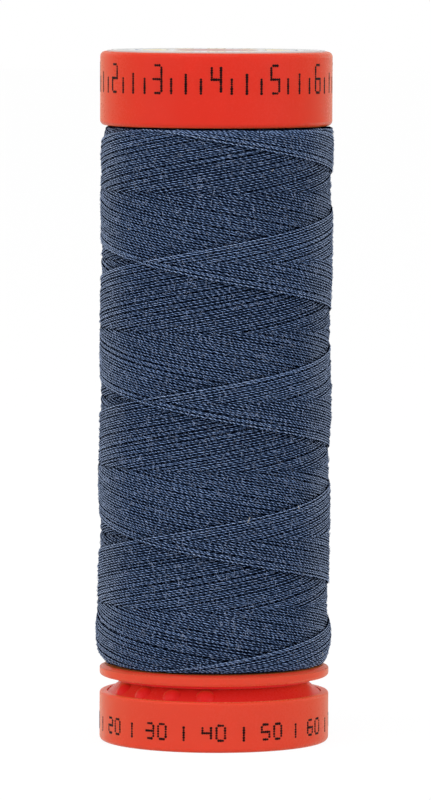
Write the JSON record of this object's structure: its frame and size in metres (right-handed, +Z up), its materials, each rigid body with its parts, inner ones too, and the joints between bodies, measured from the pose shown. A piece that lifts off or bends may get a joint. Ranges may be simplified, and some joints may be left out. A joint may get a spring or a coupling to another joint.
{
  "type": "spool of thread",
  "caption": "Small moulded spool wound with sewing thread, with a head drum, a lower flange and a pull-open foot that locks the thread end.",
  "frame": {"origin": "on the spool's axis, in the plane that the closed foot stands on", "axes": "+Z up along the spool's axis from the foot to the head, -Y towards the viewer"},
  "size_m": [0.022, 0.022, 0.0656],
  "materials": {
    "body_plastic": "glossy moulded orange-red",
    "foot_plastic": "glossy moulded orange-red",
    "thread": "navy polyester sewing thread, cross wound",
    "label_paper": "white coated paper"
  },
  "bodies": {
    "foot": {"foot_cap": "foot_plastic", "base_label": "label_paper"},
    "spool": {"spool_body": "body_plastic", "thread_inner_layers": "thread", "thread_outer_turns": "thread", "top_label": "label_paper"}
  },
  "joints": [
    {"name": "lock_open", "type": "slide", "parent": "foot", "child": "spool", "axis": [0, 0, 1], "range_m": [0, 0.0025]}
  ]
}
